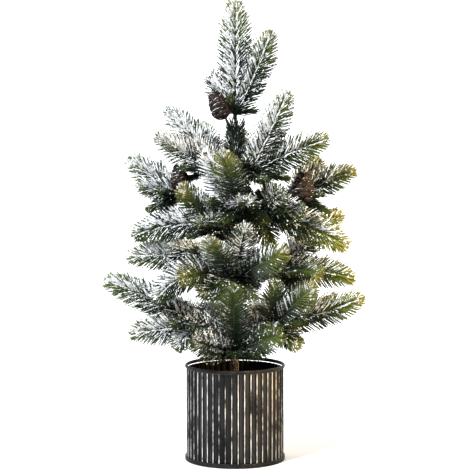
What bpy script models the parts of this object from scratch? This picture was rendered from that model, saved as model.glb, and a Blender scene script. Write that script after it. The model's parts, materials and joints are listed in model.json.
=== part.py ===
"""Flocked tabletop fir in a corrugated metal planter.

Metres, +Z up. The origin is the centre of the planter's flat underside.
Headings are degrees about +Z: 0 is +X (right), 90 is +Y (back), -90 is -Y (front).
Rises are degrees above the horizontal.
"""
import math
from collections import namedtuple

import bmesh
import bpy
from mathutils import Matrix, Vector

# ---------------------------------------------------------------- driving dimensions
GAP = 0.0003                # clearance between pieces that touch

POT_HEIGHT = 0.1266
POT_RADIUS = 0.0643         # out to the crests of the flutes
SHEET = 0.0008              # planter sheet thickness
FLUTES = 48
FLUTE_DEPTH = 0.0020
FLUTE_SHARP = 1.8           # above 1, crests are narrower than valleys
FLUTE_POINTS = 6            # outline points for one flute
RIM_WIDTH = 0.0034          # rolled rim across
RIM_TALL = 0.0050           # rolled rim, top to bottom
FOOT_TALL = 0.0060          # seamed foot band, top to bottom
FOOT_PROUD = 0.0013         # how far the foot band stands out from the crests
BASE_THICK = 0.0012
ROUND = 48                  # sides on the planter's round pieces
THIN = 16                   # sides on the trunk's round pieces

WEIGHT_TALL = 0.038         # cement weight cast in the foot of the planter
WEIGHT_SOCKET = 0.030       # how deep the trunk rod stands in the weight
WEIGHT_CHAMFER = 0.0015

ROD_RADIUS = 0.0030         # steel rod in the trunk
WRAP_THICK = 0.0022         # brown paper wound over the rod
TAPE_THICK = 0.0016         # binding tape over the paper at each tier
TAPE_TALL = 0.0110
TAPE_LIP = 1 / 3             # chamfer on the tape's edges, as a share of its thickness

STEM_RADIUS = 0.0016        # taped branch wire
WIRE_END = 0.55             # a wire's rounded end, as a share of its radius
STEM_BACK = 0.8             # a stem's end behind its root, as a share of its radius
STEM_TAPER = 0.0010         # length over which a stem's far end draws in
HUB_RADIUS = 0.0033         # moulded socket at the root of a sprig
HUB_LENGTH = 0.0090
TIP_FIRST = 0.0012          # first tip's root beyond the hub's centre
TIP_STAGGER = 0.0006        # each further tip's root beyond the one before

BLADE_HALF_WIDTH = 0.0100   # core envelope of one moulded tip
BLADE_HALF_THICK = 0.0021
BLADE_EDGE = 0.4            # thickness that stays where a tip is narrowest, as a share
BLADE_SIDES = 6
HUB_SIDES = 8
BEND_STEPS = 12             # steps that trace a tip's bent midrib

PICK_RADIUS = 0.0009        # wire that holds a cone
PICK_BEND = 0.0060          # straight end of that wire under the cone
CONE_TIERS = 7              # rings of scales on a cone
CONE_SIDES = 12
SCALE_STEP = 0.20           # notch between rings of scales, as a share of the local radius
SCALE_SPAN = (0.08, 0.88)   # where a ring of scales starts and ends, as shares of its tier
CONE_ARCH = (0.10, 0.94)    # part of a half sine that a cone's outline follows, base to tip
CONE_BLUNT = 0.72           # below 1, a cone is widest nearer its base

# Height of each tier's branch roots above the rim
TIER_RISE = {
    "leader": 0.3134,
    "crown": 0.2354,
    "shoulder": 0.1914,
    "waist": 0.1574,
    "skirt": 0.1054,
    "hem": 0.0314,
}
HEM_FRONT_DROP = 0.0160     # the hem's front branch leaves from under its tape

# Half-width and thickness of a tip along its length: share of length, share of full size
BLADE_OUTLINE = ((0.0, 0.22), (0.16, 0.72), (0.42, 1.0), (0.72, 0.92), (0.91, 0.58), (1.0, 0.16))

# Radius along a hub about its centre: share of its length, share of its radius
HUB_OUTLINE = ((-0.62, 0.80), (-0.40, 1.0), (0.45, 1.05), (0.78, 0.60))

# The tips' roots bunch at shallow angles inside the hub, where the EXACT solver loses the union
SPRIG_SOLVER = 'MANIFOLD'

Tip = namedtuple("Tip", "heading rise length droop roll")
Branch = namedtuple("Branch", "name tier heading rise stem tips")
Cone = namedtuple("Cone", "name host along base heading rise length radius")

# A tip starts at rise + droop / 2 and ends at rise - droop / 2.
# Roll turns its flat side: positive brings a right-pointing tip's upper face to the front.
BRANCHES = (
    Branch("leader", "leader", 0, 90, 0.012, (
        Tip(-90, 89, 0.148, 0, 180), Tip(-8, 66, 0.118, -8, 75), Tip(172, 58, 0.066, -4, -75))),
    Branch("crown_right", "crown", -35, 44, 0.022, (
        Tip(-30, 62, 0.118, 2, 100), Tip(-12, 24, 0.112, 10, 75), Tip(60, 40, 0.084, 10, 0))),
    Branch("crown_left", "crown", 175, 52, 0.028, (
        Tip(165, 50, 0.102, 4, -70), Tip(-160, 26, 0.092, -6, -72), Tip(112, 46, 0.084, 10, 0))),
    Branch("crown_back", "crown", 80, 42, 0.032, (
        Tip(92, 30, 0.104, 14, 0), Tip(126, 22, 0.092, 10, 0), Tip(52, 22, 0.096, 14, 0))),
    Branch("shoulder_front", "shoulder", -82, 34, 0.026, (
        Tip(-106, 46, 0.104, 4, 0), Tip(-150, 56, 0.092, -10, -110), Tip(-80, 8, 0.084, 10, 0))),
    Branch("shoulder_left", "shoulder", 165, 26, 0.074, (
        Tip(172, 33, 0.084, -6, -70), Tip(140, 20, 0.078, 10, 0), Tip(-160, 10, 0.060, 6, -70))),
    Branch("shoulder_right", "shoulder", 18, 22, 0.084, (
        Tip(4, 22, 0.084, 8, 70), Tip(40, 50, 0.062, 0, 45), Tip(70, 14, 0.076, 10, 0))),
    Branch("waist_left", "waist", -158, 60, 0.026, (
        Tip(-138, 38, 0.088, -10, -108), Tip(178, -4, 0.118, 36, -80), Tip(-108, 8, 0.086, 10, 0))),
    Branch("waist_right", "waist", -12, 60, 0.048, (
        Tip(-6, -20, 0.126, 22, 80), Tip(-34, 4, 0.070, 20, 75), Tip(-66, 24, 0.080, 8, 120),
        Tip(-60, -50, 0.056, 0, 20))),
    Branch("waist_back", "waist", 92, 30, 0.034, (
        Tip(88, 14, 0.116, 20, 0), Tip(124, 16, 0.104, 14, 0), Tip(56, 18, 0.096, 14, 0))),
    Branch("skirt_front", "skirt", -92, 24, 0.026, (
        Tip(-113, 34, 0.100, 4, 0), Tip(-42, 24, 0.098, -4, 100), Tip(-76, 52, 0.092, 0, 180),
        Tip(-142, -18, 0.060, 10, -55))),
    Branch("skirt_front_left", "skirt", -128, 42, 0.022, (
        Tip(-168, -16, 0.104, 64, -70), Tip(-128, 2, 0.092, 26, -80))),
    Branch("skirt_left", "skirt", 168, 46, 0.040, (
        Tip(178, 4, 0.108, 20, -70), Tip(146, 12, 0.096, 16, 0), Tip(-168, 26, 0.062, 10, -60))),
    Branch("skirt_right", "skirt", 4, 20, 0.050, (
        Tip(0, -5, 0.104, 20, 70), Tip(32, 36, 0.128, 8, 45), Tip(-44, 0, 0.078, 16, 60),
        Tip(-100, -6, 0.050, 0, 0))),
    Branch("skirt_back", "skirt", 88, 22, 0.034, (
        Tip(86, 8, 0.120, 20, 0), Tip(118, 10, 0.112, 16, 0), Tip(58, 10, 0.108, 14, 0))),
    Branch("hem_left", "hem", -168, 26, 0.044, (
        Tip(180, 27, 0.138, 14, -70), Tip(-168, -4, 0.092, 6, -70), Tip(-132, -26, 0.054, 24, -50))),
    Branch("hem_right", "hem", -18, 26, 0.046, (
        Tip(-42, 38, 0.094, -4, 100), Tip(-2, 17, 0.126, -6, 70), Tip(-34, -28, 0.052, 20, 55),
        Tip(-82, 60, 0.070, 0, 0))),
    Branch("hem_front", "hem", -90, 6, 0.016, (
        Tip(-92, 52, 0.122, -4, 0), Tip(-126, 16, 0.098, 6, -100), Tip(-52, 20, 0.104, 8, 100))),
    Branch("hem_back_left", "hem", 126, 20, 0.038, (
        Tip(120, 12, 0.124, 18, 0), Tip(152, 10, 0.112, 14, 0), Tip(94, 14, 0.096, 12, 0))),
    Branch("hem_back_right", "hem", 52, 20, 0.038, (
        Tip(58, 12, 0.124, 18, 0), Tip(26, 10, 0.112, 14, 0), Tip(86, 14, 0.092, 12, 0))),
)

# A cone stands base down; base is its place from the host stem's point, along is where on the stem
CONES = (
    Cone("top", "leader", 0.25, (-0.013, -0.015, 0.004), 190, 66, 0.040, 0.0150),
    Cone("left", "shoulder_left", 0.80, (-0.012, -0.022, 0.010), 175, 84, 0.036, 0.0135),
    Cone("right", "shoulder_right", 0.80, (0.022, -0.024, -0.006), 60, 84, 0.044, 0.0165),
    Cone("back", "waist_back", 0.50, (0.016, 0.024, 0.028), 90, 80, 0.040, 0.0150),
)

# ---------------------------------------------------------------- derived sizes
RIM_UNDER = POT_HEIGHT - RIM_TALL
WALL_TOP = RIM_UNDER - GAP
INSIDE_RADIUS = POT_RADIUS - FLUTE_DEPTH - SHEET     # clear of the valleys' inner faces
WEIGHT_BOTTOM = BASE_THICK + GAP
WEIGHT_TOP = WEIGHT_BOTTOM + WEIGHT_TALL
WRAP_RADIUS = ROD_RADIUS + GAP + WRAP_THICK
PIVOT_RADIUS = WRAP_RADIUS + GAP + STEM_RADIUS       # branch roots stand just off the paper
ROOT_CLEAR = STEM_RADIUS + GAP                       # from a root's centre to tape or trunk end


# ---------------------------------------------------------------- shared helpers
def clear_scene():
    for old in list(bpy.data.objects):
        bpy.data.objects.remove(old, do_unlink=True)


def make_material(name, colour, roughness, metallic=0.0):
    material = bpy.data.materials.new(name)
    material.use_nodes = True
    shader = material.node_tree.nodes["Principled BSDF"]
    shader.inputs["Base Color"].default_value = (*colour, 1.0)
    shader.inputs["Roughness"].default_value = roughness
    shader.inputs["Metallic"].default_value = metallic
    material.diffuse_color = (*colour, 1.0)
    return material


def add_object(name, bm, material, smooth_angle=35):
    """Turn a bmesh into a named object whose faces point out."""
    bmesh.ops.recalc_face_normals(bm, faces=bm.faces)
    mesh = bpy.data.meshes.new(name)
    bm.to_mesh(mesh)
    bm.free()
    mesh.shade_smooth()
    mesh.set_sharp_from_angle(angle=math.radians(smooth_angle))
    item = bpy.data.objects.new(name, mesh)
    if material:
        mesh.materials.append(material)
    bpy.context.collection.objects.link(item)
    return item


def direction(heading, rise):
    turn = math.radians(heading)
    lift = math.radians(rise)
    return Vector((math.cos(turn) * math.cos(lift), math.sin(turn) * math.cos(lift), math.sin(lift)))


def skin(bm, rings):
    """Bridge a row of edge loops into one tube; the end loops already have their caps."""
    for low, high in zip(rings, rings[1:]):
        bmesh.ops.bridge_loops(bm, edges=low + high)


def add_ring(bm, sides, place, capped):
    """One closed loop of edges from a unit circle under a placing matrix."""
    made = bmesh.ops.create_circle(bm, cap_ends=capped, segments=sides, radius=1.0, matrix=place)
    corners = set(made["verts"])
    return [edge for edge in bm.edges if edge.verts[0] in corners and edge.verts[1] in corners]


def tube_between(bm, sides, stations):
    """Skin a closed tube through (matrix, ...) stations."""
    last = len(stations) - 1
    skin(bm, [add_ring(bm, sides, place, index in (0, last)) for index, place in enumerate(stations)])


def turned(name, outline, material, sides=ROUND):
    """Spin a closed (radius, height) outline that stays off the axis into a solid ring."""
    bm = bmesh.new()
    corners = [bm.verts.new((radius, 0.0, height)) for radius, height in outline]
    edges = [bm.edges.new(pair) for pair in zip(corners, corners[1:] + corners[:1])]
    bmesh.ops.spin(bm, geom=corners + edges, cent=(0, 0, 0), axis=(0, 0, 1),
                   angle=math.tau, steps=sides, use_merge=True)
    return add_object(name, bm, material)


def guide(item):
    """Mark an operand of a Boolean as construction only."""
    item.hide_render = True
    item.display_type = 'WIRE'
    return item


def combine(item, other, operation, solver='EXACT'):
    step = item.modifiers.new(other.name, 'BOOLEAN')
    step.operation = operation
    step.solver = solver
    step.object = guide(other)


def cylinder(name, radius, low, high, material, sides=ROUND):
    bm = bmesh.new()
    bmesh.ops.create_cone(bm, cap_ends=True, segments=sides, radius1=radius, radius2=radius,
                          depth=high - low, matrix=Matrix.Translation((0, 0, (low + high) / 2)))
    return add_object(name, bm, material)


def wire(name, points, radius, material):
    """Round wire through the points, drawn in at both ends, as a capped curve."""
    path = bpy.data.curves.new(name, 'CURVE')
    path.dimensions = '3D'
    path.bevel_depth = radius
    path.bevel_resolution = 1
    path.use_fill_caps = True
    spline = path.splines.new('POLY')
    spline.points.add(len(points) - 1)
    for index, point in enumerate(points):
        spline.points[index].co = (*point, 1.0)
        spline.points[index].radius = WIRE_END if index in (0, len(points) - 1) else 1.0
    path.materials.append(material)
    item = bpy.data.objects.new(name, path)
    bpy.context.collection.objects.link(item)
    return item


# ---------------------------------------------------------------- planter
def flute_radius(angle):
    """Outside radius of the corrugated wall at an angle; a valley faces straight ahead."""
    crest = (1 - math.cos(angle * FLUTES)) / 2
    return POT_RADIUS - FLUTE_DEPTH * (1 - crest ** FLUTE_SHARP)


def make_pot_wall(material):
    """A fluted outline drawn up to the rim and thickened inwards."""
    bm = bmesh.new()
    count = FLUTES * FLUTE_POINTS
    corners = []
    for index in range(count):
        angle = math.tau * index / count
        radius = flute_radius(angle)
        corners.append(bm.verts.new((radius * math.cos(angle), radius * math.sin(angle), GAP)))
    outline = [bm.edges.new(pair) for pair in zip(corners, corners[1:] + corners[:1])]
    grown = bmesh.ops.extrude_edge_only(bm, edges=outline)["geom"]
    raised = [part for part in grown if isinstance(part, bmesh.types.BMVert)]
    bmesh.ops.translate(bm, verts=raised, vec=(0, 0, WALL_TOP - GAP))
    wall = add_object("pot_wall", bm, material)
    sheet = wall.modifiers.new("sheet", 'SOLIDIFY')
    sheet.thickness = SHEET
    sheet.offset = -1.0
    return wall


def make_pot_rim(material):
    """Rolled rim: an oval section standing on the wall's top edge."""
    points = 10
    centre_height = POT_HEIGHT - RIM_TALL / 2
    outline = []
    for index in range(points):
        angle = math.tau * index / points
        outline.append((POT_RADIUS + RIM_WIDTH / 2 * math.cos(angle),
                        centre_height + RIM_TALL / 2 * math.sin(angle)))
    return turned("pot_rim", outline, material)


def make_pot_foot(material):
    """Seamed band around the foot of the wall, rounded on its outer side."""
    inner = POT_RADIUS + GAP
    outer = POT_RADIUS + GAP + FOOT_PROUD
    chamfer = FOOT_PROUD / 2
    outline = ((inner, 0.0), (outer - chamfer, 0.0), (outer, chamfer),
               (outer, FOOT_TALL - chamfer), (outer - chamfer, FOOT_TALL), (inner, FOOT_TALL))
    return turned("pot_foot_band", outline, material)


def make_pot_base(material):
    return cylinder("pot_base", INSIDE_RADIUS - GAP, 0.0, BASE_THICK, material)


def make_weight(material):
    """Cement plug poured round the trunk rod, with the rod's socket left in it."""
    weight = cylinder("cement_weight", INSIDE_RADIUS - GAP, WEIGHT_BOTTOM, WEIGHT_TOP, material)
    softened = weight.modifiers.new("softened", 'BEVEL')
    softened.width = WEIGHT_CHAMFER
    softened.segments = 1
    softened.limit_method = 'ANGLE'
    socket = cylinder("rod_socket", ROD_RADIUS + GAP, WEIGHT_TOP - WEIGHT_SOCKET - GAP,
                      WEIGHT_TOP + WEIGHT_SOCKET, None, sides=THIN)
    combine(weight, socket, 'DIFFERENCE')
    return weight


# ---------------------------------------------------------------- trunk
def tier_height(tier):
    return POT_HEIGHT + TIER_RISE[tier]


TRUNK_TOP = tier_height("leader") - ROOT_CLEAR


def make_trunk(steel, paper, tape):
    cylinder("trunk_rod", ROD_RADIUS, WEIGHT_TOP - WEIGHT_SOCKET, TRUNK_TOP - WRAP_THICK, steel, THIN)
    inner = ROD_RADIUS + GAP
    low = WEIGHT_TOP + GAP
    outline = ((inner, low), (WRAP_RADIUS, low), (WRAP_RADIUS, TRUNK_TOP), (inner, TRUNK_TOP))
    turned("trunk_wrap", outline, paper, THIN)
    for tier in TIER_RISE:
        if tier != "leader":
            make_tier_tape(tier, tape)


def make_tier_tape(tier, material):
    """Tape bound over the branch wires where they run down the trunk, just under their roots."""
    top = tier_height(tier) - ROOT_CLEAR
    inner = WRAP_RADIUS + GAP
    outer = inner + TAPE_THICK
    lip = TAPE_THICK * TAPE_LIP
    outline = ((inner, top - TAPE_TALL), (outer - lip, top - TAPE_TALL), (outer, top - TAPE_TALL + lip),
               (outer, top - lip), (outer - lip, top), (inner, top))
    turned("tape_" + tier, outline, material, THIN)


# ---------------------------------------------------------------- branches
def root_of(branch):
    """Where a branch's wire bends away from the trunk: its hinge point."""
    height = tier_height(branch.tier)
    if branch.tier == "leader":
        return Vector((0, 0, height))
    if branch.name == "hem_front":
        height -= HEM_FRONT_DROP
    return direction(branch.heading, 0) * PIVOT_RADIUS + Vector((0, 0, height))


def hub_of(branch):
    return root_of(branch) + direction(branch.heading, branch.rise) * branch.stem


def blade_frame(tip, share, origin):
    """Axes of a tip's cross-section: across its flat, through its thickness, along it."""
    along = direction(tip.heading, tip.rise + tip.droop * (0.5 - share))
    across = direction(tip.heading - 90, 0)
    across = Matrix.Rotation(math.radians(tip.roll), 3, along) @ across
    through = along.cross(across)
    frame = Matrix((across, through, along)).transposed().to_4x4()
    return Matrix.Translation(origin) @ frame


def tip_point(tip, share, start):
    """Point along a tip's bent midrib, stepped out from its root."""
    point = start.copy()
    step = tip.length * share / BEND_STEPS
    for index in range(BEND_STEPS):
        middle = share * (index + 0.5) / BEND_STEPS
        point += direction(tip.heading, tip.rise + tip.droop * (0.5 - middle)) * step
    return point


def make_blade(name, tip, start):
    """One flat moulded tip as a lens-shaped core along its midrib."""
    bm = bmesh.new()
    stations = []
    for share, size in BLADE_OUTLINE:
        thick = BLADE_EDGE + (1 - BLADE_EDGE) * size
        spread = Matrix.Diagonal((BLADE_HALF_WIDTH * size, BLADE_HALF_THICK * thick, 1, 1))
        stations.append(blade_frame(tip, share, tip_point(tip, share, start)) @ spread)
    tube_between(bm, BLADE_SIDES, stations)
    return add_object(name, bm, None)


def make_stem(branch, material):
    """Taped branch wire from its rounded root into the sprig's socket."""
    root = root_of(branch)
    along = direction(branch.heading, branch.rise)
    end = branch.stem - GAP
    reaches = (-STEM_RADIUS * STEM_BACK, 0.0, end / 2, end - STEM_TAPER, end)
    points = [root + along * reach for reach in reaches]
    return wire("stem_" + branch.name, points, STEM_RADIUS, material)


def make_sprig(branch, material):
    """Moulded sprig: its tips joined at a socketed hub that the stem's end sits in."""
    along = direction(branch.heading, branch.rise)
    hub_centre = hub_of(branch)
    turn = along.to_track_quat('Z', 'Y').to_matrix().to_4x4()
    bm = bmesh.new()
    stations = []
    for share, size in HUB_OUTLINE:
        spread = Matrix.Diagonal((HUB_RADIUS * size, HUB_RADIUS * size, 1, 1))
        stations.append(Matrix.Translation(hub_centre + along * HUB_LENGTH * share) @ turn @ spread)
    tube_between(bm, HUB_SIDES, stations)
    sprig = add_object("sprig_" + branch.name, bm, material)
    for index, tip in enumerate(branch.tips):
        start = hub_centre + along * (TIP_FIRST + TIP_STAGGER * index)
        blade = make_blade(f"{branch.name}_tip_{index + 1}", tip, start)
        combine(sprig, blade, 'UNION', SPRIG_SOLVER)
    bm = bmesh.new()
    bore = STEM_RADIUS + GAP
    stations = []
    for reach in (-HUB_LENGTH, 0.0):
        spread = Matrix.Diagonal((bore, bore, 1, 1))
        stations.append(Matrix.Translation(hub_centre + along * reach) @ turn @ spread)
    tube_between(bm, HUB_SIDES, stations)
    combine(sprig, add_object(branch.name + "_socket", bm, None), 'DIFFERENCE', SPRIG_SOLVER)
    return sprig


# ---------------------------------------------------------------- cones
def cone_profile(share):
    """Radius along a cone as a share of its widest: blunt base, long taper to the tip."""
    base, tip = CONE_ARCH
    return math.sin(math.pi * (base + (tip - base) * share) ** CONE_BLUNT)


def make_cone(cone, wood, steel):
    host = next(branch for branch in BRANCHES if branch.name == cone.host)
    stem_axis = direction(host.heading, host.rise)
    stem_point = root_of(host) + stem_axis * host.stem * cone.along
    base = stem_point + Vector(cone.base)
    axis = direction(cone.heading, cone.rise)
    turn = axis.to_track_quat('Z', 'Y').to_matrix().to_4x4()
    bm = bmesh.new()
    stations = []
    for ring in range(CONE_TIERS):
        for within, notch in zip(SCALE_SPAN, (SCALE_STEP, 0.0)):
            share = (ring + within) / CONE_TIERS
            radius = cone.radius * cone_profile(share) * (1 - notch)
            spread = Matrix.Diagonal((radius, radius, 1, 1))
            stations.append(Matrix.Translation(base + axis * cone.length * share) @ turn @ spread)
    tube_between(bm, CONE_SIDES, stations)
    add_object("cone_" + cone.name, bm, wood, smooth_angle=20)
    first = base + axis * (cone.length * SCALE_SPAN[0] / CONE_TIERS - GAP)
    below = first - axis * PICK_BEND
    reach = below - stem_point
    sideways = (reach - stem_axis * reach.dot(stem_axis)).normalized()
    start = stem_point + sideways * (STEM_RADIUS + GAP + PICK_RADIUS)
    wire("cone_pick_" + cone.name, [start, below, first], PICK_RADIUS, steel)


# ---------------------------------------------------------------- the whole piece
def build():
    clear_scene()
    dark_steel = make_material("worn_galvanised_steel", (0.23, 0.22, 0.20), 0.42, 0.85)
    rolled_steel = make_material("rolled_edge_steel", (0.12, 0.11, 0.10), 0.40, 0.85)
    cement = make_material("cement", (0.22, 0.20, 0.18), 0.95)
    rod_steel = make_material("rod_steel", (0.35, 0.35, 0.36), 0.40, 0.90)
    paper = make_material("brown_paper_wrap", (0.20, 0.12, 0.06), 0.90)
    tape = make_material("brown_floral_tape", (0.16, 0.10, 0.05), 0.80)
    stem_tape = make_material("green_stem_tape", (0.07, 0.12, 0.05), 0.70)
    needles = make_material("moulded_needles", (0.16, 0.24, 0.12), 0.60)
    cone_scales = make_material("cone_scales", (0.10, 0.06, 0.04), 0.75)
    make_pot_wall(dark_steel)
    make_pot_rim(rolled_steel)
    make_pot_foot(rolled_steel)
    make_pot_base(rolled_steel)
    make_weight(cement)
    make_trunk(rod_steel, paper, tape)
    for branch in BRANCHES:
        make_stem(branch, stem_tape)
        make_sprig(branch, needles)
    for cone in CONES:
        make_cone(cone, cone_scales, rod_steel)


build()
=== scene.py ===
"""Looks of the flocked tabletop fir: needles, flock, cones, fluted planter, light and camera.

Metres, +Z up. Headings are degrees about +Z (0 right, 90 back, -90 front); rises are degrees
above the horizontal. The branch layout repeats the CAD's, so needles grow where its cores lie.
"""
import json
import math
from collections import namedtuple

import bpy
import numpy as np
from mathutils import Matrix, Vector


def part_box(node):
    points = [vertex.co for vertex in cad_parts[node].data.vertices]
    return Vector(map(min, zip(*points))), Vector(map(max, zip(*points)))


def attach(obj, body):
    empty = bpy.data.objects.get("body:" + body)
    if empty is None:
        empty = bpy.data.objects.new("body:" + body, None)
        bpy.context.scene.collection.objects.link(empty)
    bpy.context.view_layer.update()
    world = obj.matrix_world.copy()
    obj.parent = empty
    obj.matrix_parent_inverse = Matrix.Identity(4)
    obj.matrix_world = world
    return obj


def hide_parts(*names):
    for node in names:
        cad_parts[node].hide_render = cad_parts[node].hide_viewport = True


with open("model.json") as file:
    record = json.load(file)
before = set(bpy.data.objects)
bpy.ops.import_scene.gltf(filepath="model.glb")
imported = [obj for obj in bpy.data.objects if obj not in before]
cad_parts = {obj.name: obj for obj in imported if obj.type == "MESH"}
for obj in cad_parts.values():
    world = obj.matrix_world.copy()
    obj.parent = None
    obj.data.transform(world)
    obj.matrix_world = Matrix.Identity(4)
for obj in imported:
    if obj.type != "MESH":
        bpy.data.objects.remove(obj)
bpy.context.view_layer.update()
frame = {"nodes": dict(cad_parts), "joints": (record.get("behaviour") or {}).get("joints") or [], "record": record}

JOINTS = {joint["name"]: joint for joint in frame["joints"]}
BASE_BODY = "base"

# ---------------------------------------------------------------- layout, as in the CAD
Tip = namedtuple("Tip", "heading rise length droop roll snow fresh")
Branch = namedtuple("Branch", "name heading rise stem tips")

# heading, rise, length, droop and roll are the CAD's
# snow: how much flock a tip carries, kept lower on the back sprigs so the inside seen through the gaps shows
# darker as painted shade; fresh: how far its needles turn yellow-green towards its end
BRANCHES = (
    Branch("leader", 0, 90, 0.012, (
        Tip(-90, 89, 0.148, 0, 180, 0.84, 0.55), Tip(-8, 66, 0.118, -8, 75, 0.80, 0.50),
        Tip(172, 58, 0.066, -4, -75, 1.00, 0.10))),
    Branch("crown_right", -35, 44, 0.022, (
        Tip(-30, 62, 0.118, 2, 100, 0.90, 0.45), Tip(-12, 24, 0.112, 10, 75, 0.84, 0.50),
        Tip(60, 40, 0.084, 10, 0, 0.75, 0.40))),
    Branch("crown_left", 175, 52, 0.028, (
        Tip(165, 50, 0.102, 4, -70, 0.95, 0.25), Tip(-160, 26, 0.092, -6, -72, 0.91, 0.35),
        Tip(112, 46, 0.084, 10, 0, 0.81, 0.40))),
    Branch("crown_back", 80, 42, 0.032, (
        Tip(92, 30, 0.104, 14, 0, 0.72, 0.40), Tip(126, 22, 0.092, 10, 0, 0.69, 0.45),
        Tip(52, 22, 0.096, 14, 0, 0.66, 0.50))),
    Branch("shoulder_front", -82, 34, 0.026, (
        Tip(-106, 46, 0.104, 4, 0, 0.88, 0.70), Tip(-150, 56, 0.092, -10, -110, 1.00, 0.10),
        Tip(-80, 8, 0.084, 10, 0, 1.00, 0.20))),
    Branch("shoulder_left", 165, 26, 0.074, (
        Tip(172, 33, 0.084, -6, -70, 0.89, 0.40), Tip(140, 20, 0.078, 10, 0, 0.81, 0.40),
        Tip(-160, 10, 0.060, 6, -70, 0.88, 0.30))),
    Branch("shoulder_right", 18, 22, 0.084, (
        Tip(4, 22, 0.084, 8, 70, 0.86, 0.50), Tip(40, 50, 0.062, 0, 45, 0.88, 0.50),
        Tip(70, 14, 0.076, 10, 0, 0.81, 0.40))),
    Branch("waist_left", -158, 60, 0.026, (
        Tip(-138, 38, 0.088, -10, -108, 0.72, 0.50), Tip(178, -4, 0.118, 36, -80, 0.80, 0.25),
        Tip(-108, 8, 0.086, 10, 0, 0.91, 0.30))),
    Branch("waist_right", -12, 60, 0.048, (
        Tip(-6, -20, 0.126, 22, 80, 0.97, 0.60), Tip(-34, 4, 0.070, 20, 75, 0.97, 0.25),
        Tip(-66, 24, 0.080, 8, 120, 0.94, 0.35), Tip(-60, -50, 0.056, 0, 20, 0.60, 0.30))),
    Branch("waist_back", 92, 30, 0.034, (
        Tip(88, 14, 0.116, 20, 0, 0.69, 0.45), Tip(124, 16, 0.104, 14, 0, 0.72, 0.35),
        Tip(56, 18, 0.096, 14, 0, 0.66, 0.50))),
    Branch("skirt_front", -92, 24, 0.026, (
        Tip(-113, 34, 0.100, 4, 0, 0.90, 0.55), Tip(-42, 24, 0.098, -4, 100, 0.74, 0.55),
        Tip(-76, 52, 0.092, 0, 180, 0.97, 0.20), Tip(-142, -18, 0.060, 10, -55, 0.75, 0.20))),
    Branch("skirt_front_left", -128, 42, 0.022, (
        Tip(-168, -16, 0.104, 64, -70, 0.97, 0.15), Tip(-128, 2, 0.092, 26, -80, 0.75, 0.45))),
    Branch("skirt_left", 168, 46, 0.040, (
        Tip(178, 4, 0.108, 20, -70, 0.88, 0.40), Tip(146, 12, 0.096, 16, 0, 0.81, 0.40),
        Tip(-168, 26, 0.062, 10, -60, 0.88, 0.30))),
    Branch("skirt_right", 4, 20, 0.050, (
        Tip(0, -5, 0.104, 20, 70, 0.84, 0.50), Tip(32, 36, 0.128, 8, 45, 0.84, 0.50),
        Tip(-44, 0, 0.078, 16, 60, 0.72, 0.50), Tip(-100, -6, 0.050, 0, 0, 0.57, 0.40))),
    Branch("skirt_back", 88, 22, 0.034, (
        Tip(86, 8, 0.120, 20, 0, 0.69, 0.45), Tip(118, 10, 0.112, 16, 0, 0.66, 0.50),
        Tip(58, 10, 0.108, 14, 0, 0.72, 0.40))),
    Branch("hem_left", -168, 26, 0.044, (
        Tip(180, 27, 0.138, 14, -70, 0.80, 0.40), Tip(-168, -4, 0.092, 6, -70, 0.91, 0.30),
        Tip(-132, -26, 0.054, 24, -50, 1.00, 0.35))),
    Branch("hem_right", -18, 26, 0.046, (
        Tip(-42, 38, 0.094, -4, 100, 0.74, 0.60), Tip(-2, 17, 0.126, -6, 70, 0.84, 0.50),
        Tip(-34, -28, 0.052, 20, 55, 0.97, 0.45), Tip(-82, 60, 0.070, 0, 0, 0.76, 0.30))),
    Branch("hem_front", -90, 6, 0.016, (
        Tip(-92, 52, 0.122, -4, 0, 0.70, 0.30), Tip(-126, 16, 0.098, 6, -100, 0.80, 0.20),
        Tip(-52, 20, 0.104, 8, 100, 0.56, 0.40))),
    Branch("hem_back_left", 126, 20, 0.038, (
        Tip(120, 12, 0.124, 18, 0, 0.69, 0.45), Tip(152, 10, 0.112, 14, 0, 0.72, 0.35),
        Tip(94, 14, 0.096, 12, 0, 0.66, 0.50))),
    Branch("hem_back_right", 52, 20, 0.038, (
        Tip(58, 12, 0.124, 18, 0, 0.69, 0.45), Tip(26, 10, 0.112, 14, 0, 0.63, 0.55),
        Tip(86, 14, 0.092, 12, 0, 0.72, 0.40))),
)

# ---------------------------------------------------------------- camera
CAMERA_AWAY = 2.0
CAMERA_HEIGHT = 0.430
AIM_HEIGHT = 0.296
LENS = 117.2
SENSOR = 36.0


def direction(heading, rise):
    turn = math.radians(heading)
    lift = math.radians(rise)
    return Vector((math.cos(turn) * math.cos(lift), math.sin(turn) * math.cos(lift), math.sin(lift)))


def make_camera():
    data = bpy.data.cameras.new("camera")
    data.lens = LENS
    data.sensor_width = SENSOR
    data.clip_end = 20.0
    camera = bpy.data.objects.new("camera", data)
    place = Vector((0.0, -CAMERA_AWAY, CAMERA_HEIGHT))
    camera.location = place
    aim = Vector((0.0, 0.0, AIM_HEIGHT))
    camera.rotation_euler = (aim - place).to_track_quat('-Z', 'Y').to_euler()
    bpy.context.scene.collection.objects.link(camera)
    bpy.context.scene.camera = camera


make_camera()


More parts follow.
